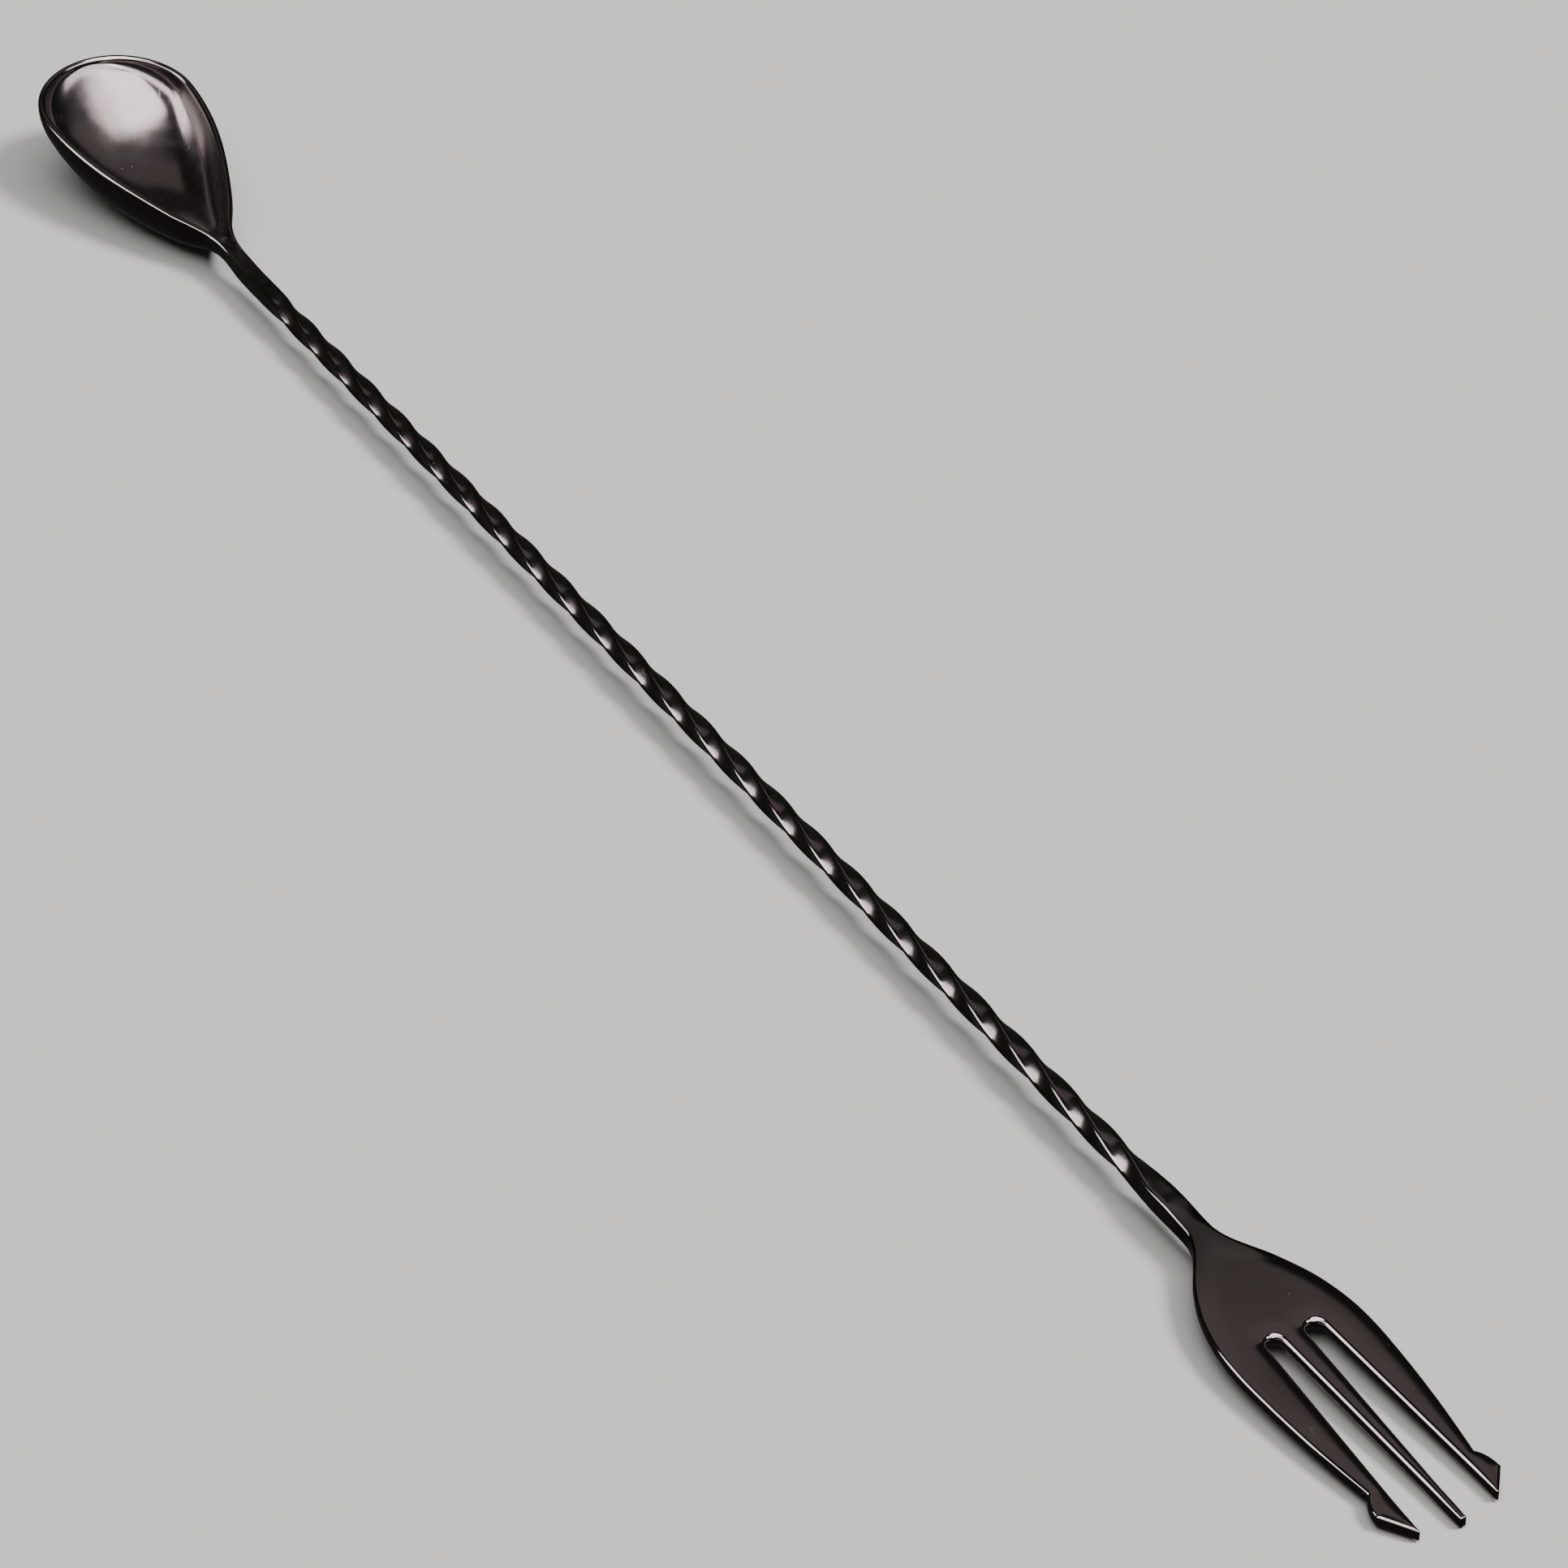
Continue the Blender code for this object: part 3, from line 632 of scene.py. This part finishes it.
def flat_triangles(border):
    """Points on a grid inside the border, and triangles over the border's points and these."""
    inside = []
    for u in np.arange(border[0, 0] + GRID_INSET, GRID_END_U, GRID_STEP):
        for v in np.arange(-GRID_SIDE_V, GRID_SIDE_V + GRID_STEP / 2.0, GRID_STEP):
            clear = np.hypot(border[:, 0] - u, border[:, 1] - v).min() > GRID_CLEARANCE
            if clear and point_inside(u, v, border):
                inside.append(Vector((u, v)))
    plan = [Vector(p) for p in border] + inside
    only_inside = 1
    points, _, triangles, *_ = delaunay_2d_cdt(plan, [], [list(range(len(border)))], only_inside,
                                               TRIANGLE_TOLERANCE)
    return points[len(border):], triangles


def painted_shade_share(place):
    """How far painted shade darkens the plating at a place on the fork, in a V where the neck meets
    the blade.
    """
    away = place.x - FORK_SHOULDER_X - PAINTED_SHADE_SWEEP * abs(place.y)
    from_joint = float(smoothstep(place.x - FORK_JOINT, *PAINTED_SHADE_START))
    return from_joint * (1.0 - float(smoothstep(away, *PAINTED_SHADE_FADE)))


def build_fork(material):
    """The fork: its wall and rounded edges, its flat faces, and the end face at the joint."""
    bm = bmesh.new()
    polish, painted_shade = polish_layer(bm), painted_shade_layer(bm)
    rings = fork_rings()
    face_rings = {1.0: [], -1.0: []}
    for side, verts in face_rings.items():
        for plan, heights, polished in rings:
            ring = [bm.verts.new(place_on_fork(u, v, side * height))
                    for (u, v), height in zip(plan, heights)]
            for vert in ring:
                vert[polish] = polished
            verts.append(ring)
    strip = face_rings[-1.0][::-1] + face_rings[1.0]
    skin_rings(bm, strip, close=False)
    bm.faces.new([ring[0] for ring in strip] + [ring[-1] for ring in reversed(strip)])
    inside, triangles = flat_triangles(rings[-1][0])
    for side, verts in face_rings.items():
        corners = list(verts[-1])
        for p in inside:
            height = float(fork_half_thickness(p.x, p.y))
            corners.append(bm.verts.new(place_on_fork(p.x, p.y, side * height)))
        for triangle in triangles:
            bm.faces.new([corners[i] for i in triangle])
    # painted shade: darkens the plating in a V where the neck meets the blade
    for vert in bm.verts:
        vert[painted_shade] = painted_shade_share(vert.co)
    finish_mesh("fork_polished", bm, material, "trident_fork")


# ---------------------------------------------------------------- materials

# Scales are noise or cells per metre. A range is the part of a noise's values that shows.
EVENLY = (1.0, 1.0, 1.0)
CLOUD_SCALE, CLOUD_DETAIL, CLOUD_RANGE = 70.0, 3.0, (0.35, 0.65)
BLOTCH_SCALE, BLOTCH_DETAIL, BLOTCH_RANGE = 420.0, 5.0, (0.3, 0.7)
BLOTCH_ROUGHNESS = (-0.02, 0.03)
HAIRLINE_DETAIL, HAIRLINE_RANGE, HAIRLINE_ROUGHNESS = 6.0, (0.60, 0.72), 0.06
EDGE_BRIGHTENING, EDGE_SHARE = 1.25, 0.5
PAINTED_SHADE_COLOUR = (0.066, 0.064, 0.062)                 # painted shade: the dark colour of the V at the fork's neck
DUST = (0.24, 0.22, 0.21)
DUST_SCALE, DUST_CHOSEN = 520.0, 0.72          # cells with more than this have a speck
DUST_RADIUS = (0.03, 0.05)                     # in cells: the whole speck, and where it ends
DUST_ROUGHNESS = 0.6
SCRATCH_SCALE, SCRATCH_DETAIL = 110.0, 1.0     # a scratch follows this noise's middle value,
SCRATCH_MIDDLE, SCRATCH_WIDTH = 0.5, (0.0015, 0.004)
SCRATCHED_SCALE, SCRATCHED_RANGE = 260.0, (0.57, 0.64)          # where this second noise is high
SCRATCH_COLOUR, SCRATCH_ROUGHNESS = 0.25, 0.10
RELIEF_SHARE = 0.5                             # of the hairlines, and of the blotches
RELIEF_STRENGTH = (0.35, 0.06)                 # on the faces, and on the polished edges
RELIEF_DEPTH = 0.000004                        # metres

Surface = namedtuple("Surface", "edge blotches hairlines scratched specks")


class Nodes:
    """Short calls for building a material's node tree."""

    def __init__(self, material):
        material.use_nodes = True
        self.tree = material.node_tree
        self.shader = self.tree.nodes["Principled BSDF"]

    def add(self, kind, inputs=None, **settings):
        """A new node. An input is a value, or another node's output to link."""
        node = self.tree.nodes.new(kind)
        for key, value in settings.items():
            setattr(node, key, value)
        for key, value in (inputs or {}).items():
            if isinstance(value, bpy.types.NodeSocket):
                self.tree.links.new(value, node.inputs[key])
            else:
                node.inputs[key].default_value = value
        return node

    def place(self, scale):
        """Object coordinates, in metres, stretched by a scale on each axis."""
        coords = self.add("ShaderNodeTexCoord")
        mapping = self.add("ShaderNodeMapping", {"Vector": coords.outputs["Object"], "Scale": scale})
        return mapping.outputs["Vector"]

    def noise(self, stretch, scale, detail):
        """Noise between 0 and 1, in places stretched by a scale on each axis."""
        node = self.add("ShaderNodeTexNoise", {"Vector": self.place(stretch), "Scale": scale,
                                               "Detail": detail})
        return node.outputs["Fac"]

    def point_value(self, layer):
        """The value of one of the mesh's per-point layers."""
        return self.add("ShaderNodeAttribute", attribute_name=layer).outputs["Fac"]

    def remap(self, value, from_range, to_low, to_high):
        """A value's range mapped to another, and cut off at its ends."""
        node = self.add("ShaderNodeMapRange", {"Value": value, "From Min": from_range[0],
                                               "From Max": from_range[1], "To Min": to_low,
                                               "To Max": to_high})
        return node.outputs["Result"]

    def math(self, operation, a, b):
        """The result of a math node."""
        return self.add("ShaderNodeMath", {0: a, 1: b}, operation=operation).outputs["Value"]

    def mix(self, factor, a, b):
        """A mix of two colours, each given as a socket or as (red, green, blue)."""
        a, b = ((*c, 1.0) if isinstance(c, tuple) else c for c in (a, b))
        node = self.add("ShaderNodeMix", {0: factor, 6: a, 7: b}, data_type="RGBA")
        return node.outputs[2]


def dust_specks(nodes):
    """1 on a few tiny specks, about 0.2 mm wide."""
    cells = nodes.add("ShaderNodeTexVoronoi", {"Vector": nodes.place(EVENLY), "Scale": DUST_SCALE})
    near = nodes.remap(cells.outputs["Distance"], DUST_RADIUS, 1.0, 0.0)
    split = nodes.add("ShaderNodeSeparateColor", {"Color": cells.outputs["Color"]})
    chosen = nodes.math("GREATER_THAN", split.outputs[0], DUST_CHOSEN)
    return nodes.math("MULTIPLY", near, chosen)


def scratches(nodes):
    """1 on a few fine curved scratches, 0 elsewhere."""
    paths = nodes.noise(EVENLY, SCRATCH_SCALE, SCRATCH_DETAIL)
    away = nodes.math("ABSOLUTE", nodes.math("SUBTRACT", paths, SCRATCH_MIDDLE), 0.0)
    lines = nodes.remap(away, SCRATCH_WIDTH, 1.0, 0.0)
    places = nodes.noise(EVENLY, SCRATCHED_SCALE, SCRATCH_DETAIL)
    return nodes.math("MULTIPLY", lines, nodes.remap(places, SCRATCHED_RANGE, 0.0, 1.0))


def plating_colour(nodes, surface, dark, light):
    """Cloudy metal colour, lighter on polished edges, with painted shade at the fork's neck, and
    scratches and dust on it.
    """
    clouds = nodes.noise(EVENLY, CLOUD_SCALE, CLOUD_DETAIL)
    colour = nodes.mix(nodes.remap(clouds, CLOUD_RANGE, 0.0, 1.0), dark, light)
    brighter = tuple(min(1.0, EDGE_BRIGHTENING * c) for c in light)
    colour = nodes.mix(nodes.math("MULTIPLY", surface.edge, EDGE_SHARE), colour, brighter)
    # painted shade from the per-point layer: the plating is darker in a V at the fork's neck
    colour = nodes.mix(nodes.point_value("painted_shade"), colour, PAINTED_SHADE_COLOUR)
    scratched = nodes.math("MULTIPLY", surface.scratched, SCRATCH_COLOUR)
    return nodes.mix(surface.specks, nodes.mix(scratched, colour, DUST), DUST)


def plating_roughness(nodes, surface, roughness, edge_roughness):
    """Satin blotches on the faces, smoother edges, and rougher hairlines, scratches and dust."""
    low, high = BLOTCH_ROUGHNESS
    satin = nodes.remap(surface.blotches, BLOTCH_RANGE, roughness + low, roughness + high)
    smooth = nodes.add("ShaderNodeMix", {0: surface.edge, 2: satin, 3: edge_roughness},
                       data_type="FLOAT")
    lines = nodes.remap(surface.hairlines, HAIRLINE_RANGE, 0.0, 1.0)
    marks = nodes.math("MAXIMUM", nodes.math("MULTIPLY", lines, HAIRLINE_ROUGHNESS),
                       nodes.math("MULTIPLY", surface.scratched, SCRATCH_ROUGHNESS))
    worn = nodes.math("ADD", smooth.outputs[0], marks)
    return nodes.math("MAXIMUM", worn, nodes.math("MULTIPLY", surface.specks, DUST_ROUGHNESS))


def plating_bump(nodes, surface):
    """Normal of the fine relief, which is fainter on polished edges."""
    relief = nodes.math("ADD", nodes.math("MULTIPLY", surface.hairlines, RELIEF_SHARE),
                        nodes.math("MULTIPLY", surface.blotches, RELIEF_SHARE))
    strength = nodes.remap(surface.edge, (0.0, 1.0), *RELIEF_STRENGTH)
    bump = nodes.add("ShaderNodeBump", {"Height": relief, "Strength": strength,
                                        "Distance": RELIEF_DEPTH})
    return bump.outputs["Normal"]


def plating(name, dark, light, roughness, edge_roughness, grain):
    """Polished gunmetal plating: cloudy colour, hairline polishing marks along the grain, fine
    scratches, satin blotches, smoother edges and a few specks of dust."""
    material = bpy.data.materials.new(name)
    nodes = Nodes(material)
    surface = Surface(edge=nodes.point_value("polish"),
                      blotches=nodes.noise(EVENLY, BLOTCH_SCALE, BLOTCH_DETAIL),
                      hairlines=nodes.noise(grain, 1.0, HAIRLINE_DETAIL),
                      scratched=scratches(nodes),
                      specks=dust_specks(nodes))
    inputs = {"Base Color": plating_colour(nodes, surface, dark, light),
              "Roughness": plating_roughness(nodes, surface, roughness, edge_roughness),
              "Normal": plating_bump(nodes, surface)}
    for socket, value in inputs.items():
        nodes.tree.links.new(value, nodes.shader.inputs[socket])
    nodes.shader.inputs["Metallic"].default_value = 1.0
    return material


# ---------------------------------------------------------------- stage

PAPER_DARK, PAPER_LIGHT = (0.50, 0.485, 0.485), (0.53, 0.515, 0.51)
FIBRE_SCALE, FIBRE_DETAIL = 60.0, 6.0
PAPER_ROUGHNESS = 0.9
FLOOR_GAP = 0.00001                  # metres, as are the next two
STAGE_RADIUS, STAGE_HEIGHT = 12.0, 12.0
STAGE_SIDES = 96
BACKDROP_COLOUR = (1.0, 0.971, 0.966)
BACKDROP_GLOW = 0.89                 # as bright as the lit floor, so that no horizon shows


def stage_circle(height):
    """Points on a wide circle round the object."""
    angles = [2.0 * math.pi * side / STAGE_SIDES for side in range(STAGE_SIDES)]
    return [(STAGE_RADIUS * math.cos(a), STAGE_RADIUS * math.sin(a), height) for a in angles]


def add_stage(name, points, faces, material):
    """A piece of the stage, which doesn't show in the plating."""
    mesh = bpy.data.meshes.new(name)
    mesh.from_pydata(points, [], faces)
    mesh.materials.append(material)
    stage = bpy.data.objects.new(name, mesh)
    bpy.context.scene.collection.objects.link(stage)
    stage.visible_glossy = False
    return stage


def build_floor(level):
    """A round floor of pale paper."""
    paper = bpy.data.materials.new("floor_paper")
    nodes = Nodes(paper)
    colour = nodes.mix(nodes.noise(EVENLY, FIBRE_SCALE, FIBRE_DETAIL), PAPER_DARK, PAPER_LIGHT)
    nodes.tree.links.new(colour, nodes.shader.inputs["Base Color"])
    nodes.shader.inputs["Roughness"].default_value = PAPER_ROUGHNESS
    nodes.shader.inputs["Specular IOR Level"].default_value = 0.0
    add_stage("floor", stage_circle(level), [tuple(range(STAGE_SIDES))], paper)


def build_backdrop(level):
    """A pale wall round the floor that only a camera sees."""
    glow = bpy.data.materials.new("backdrop_paper")
    shader = Nodes(glow).shader
    shader.inputs["Base Color"].default_value = (0.0, 0.0, 0.0, 1.0)
    shader.inputs["Specular IOR Level"].default_value = 0.0
    shader.inputs["Emission Color"].default_value = (*BACKDROP_COLOUR, 1.0)
    shader.inputs["Emission Strength"].default_value = BACKDROP_GLOW
    walls = []
    for side in range(STAGE_SIDES):
        following = (side + 1) % STAGE_SIDES
        walls.append((side, following, following + STAGE_SIDES, side + STAGE_SIDES))
    points = stage_circle(level) + stage_circle(STAGE_HEIGHT)
    backdrop = add_stage("backdrop", points, walls, glow)
    backdrop.visible_diffuse = False
    backdrop.visible_shadow = False


# ---------------------------------------------------------------- lights and camera

WHITE, WARM = (1.0, 0.93, 0.925), (1.0, 0.88, 0.84)
WORLD_COLOUR = (0.05, 0.046, 0.048)
CARD_DISTANCE = 3.0                  # metres
CARDS = (                            # name, azimuth, elevation, half angles, radiance, colour
    ("window_left", 33.0, 31.0, (12.0, 17.0), 11.0, WHITE),
    ("overhead", -90.0, 80.0, (21.0, 21.0), 14.0, WHITE),
    ("front_high", -37.0, 47.0, (43.0, 10.0), 10.0, WHITE),
    ("right_back", -113.0, 43.0, (31.0, 14.0), 9.0, WHITE),
    ("back_panel", 128.0, 54.0, (24.0, 10.0), 0.40, WARM),
)
KEY_AZIMUTH, KEY_ELEVATION, KEY_WIDTH, KEY_STRENGTH = -150.0, 50.0, 18.0, 3.7
FILL_WIDTH, FILL_STRENGTH = 80.0, 2.7
STRAIGHT_UP = Vector((0.0, 0.0, 1.0))
CAMERA_LENS, CAMERA_SENSOR = 128.3, 36.0
CAMERA_PLACE = (0.58846, -0.32248, 0.47188)
CAMERA_ANGLES = (54.137, 0.0, 59.723)
CAMERA_CLIP = 0.01


def direction(azimuth, elevation):
    """Unit vector towards a place: azimuth 0 is -Y, 90 is -X, in degrees."""
    a, e = math.radians(azimuth), math.radians(elevation)
    return Vector((-math.sin(a) * math.cos(e), -math.cos(a) * math.cos(e), math.sin(e)))


def add_light(name, data, towards):
    """A light that shines from a direction on the object."""
    light = bpy.data.objects.new(name, data)
    light.rotation_euler = towards.to_track_quat("Z", "Y").to_euler()
    bpy.context.scene.collection.objects.link(light)
    return light


def add_card(name, towards, half_angles, radiance, colour):
    """A rectangular softbox that faces the object and only shows in its plating. Its half width
    and half height are angles, in degrees, as seen from the object."""
    size = [2.0 * CARD_DISTANCE * math.tan(math.radians(half)) for half in half_angles]
    data = bpy.data.lights.new(name, "AREA")
    data.shape = "RECTANGLE"
    data.size, data.size_y = size
    data.energy = radiance * size[0] * size[1] * math.pi
    data.color = colour
    light = add_light(name, data, towards)
    light.location = towards * CARD_DISTANCE
    light.visible_camera = False
    light.visible_diffuse = False


def add_floor_light(name, towards, width, strength):
    """An even light on the floor, width degrees wide, that does not show in the plating."""
    data = bpy.data.lights.new(name, "SUN")
    data.angle = math.radians(width)
    data.energy = strength
    add_light(name, data, towards).visible_glossy = False


def build_lights():
    """Softboxes for the plating, and two lights for the floor."""
    for name, azimuth, elevation, half_angles, radiance, colour in CARDS:
        add_card(name, direction(azimuth, elevation), half_angles, radiance, colour)
    add_floor_light("floor_key", direction(KEY_AZIMUTH, KEY_ELEVATION), KEY_WIDTH, KEY_STRENGTH)
    add_floor_light("floor_fill", STRAIGHT_UP, FILL_WIDTH, FILL_STRENGTH)


def build_world():
    """The dark room that the plating mirrors between the softboxes."""
    world = bpy.data.worlds.new("studio")
    world.use_nodes = True
    world.node_tree.nodes["Background"].inputs["Color"].default_value = (*WORLD_COLOUR, 1.0)
    bpy.context.scene.world = world


def build_camera():
    """The photograph's viewing angle."""
    data = bpy.data.cameras.new("camera")
    data.lens = CAMERA_LENS
    data.sensor_width = CAMERA_SENSOR
    data.clip_start = CAMERA_CLIP
    camera = bpy.data.objects.new("camera", data)
    camera.location = CAMERA_PLACE
    camera.rotation_euler = [math.radians(angle) for angle in CAMERA_ANGLES]
    bpy.context.scene.collection.objects.link(camera)
    bpy.context.scene.camera = camera


# ---------------------------------------------------------------- the whole

PLATING_DARK, PLATING_LIGHT = (0.105, 0.094, 0.094), (0.128, 0.114, 0.112)
BOWL_GRAIN = (90.0, 1800.0, 1800.0)
LONG_GRAIN = (40.0, 2600.0, 2600.0)
WELD_GRAIN = (900.0, 900.0, 900.0)
FINISHES = {                         # roughness of the faces and of the edges, and the grain
    "bowl_plating": (0.18, 0.12, BOWL_GRAIN),
    "stem_plating": (0.19, 0.09, LONG_GRAIN),
    "fork_plating": (0.17, 0.06, LONG_GRAIN),
    "weld_plating": (0.13, 0.08, WELD_GRAIN),
}


def main():
    """Make the materials, the pieces, the stage, the lights and the camera."""
    platings = {name: plating(name, PLATING_DARK, PLATING_LIGHT, *finish)
                for name, finish in FINISHES.items()}
    weld = platings["weld_plating"]
    build_bowl(platings["bowl_plating"])
    build_weld("bowl_weld_ground", BOWL_JOINT, STEM_START, BOWL_NECK, weld, "bowl_weld")
    build_stem(platings["stem_plating"])
    build_weld("fork_weld_ground", STEM_END, FORK_JOINT, FORK_NECK, weld, "fork_weld")
    build_fork(platings["fork_plating"])
    floor_level = CAD_BOX[0][2] - FLOOR_GAP
    build_floor(floor_level)
    build_backdrop(floor_level)
    build_lights()
    build_world()
    build_camera()


main()
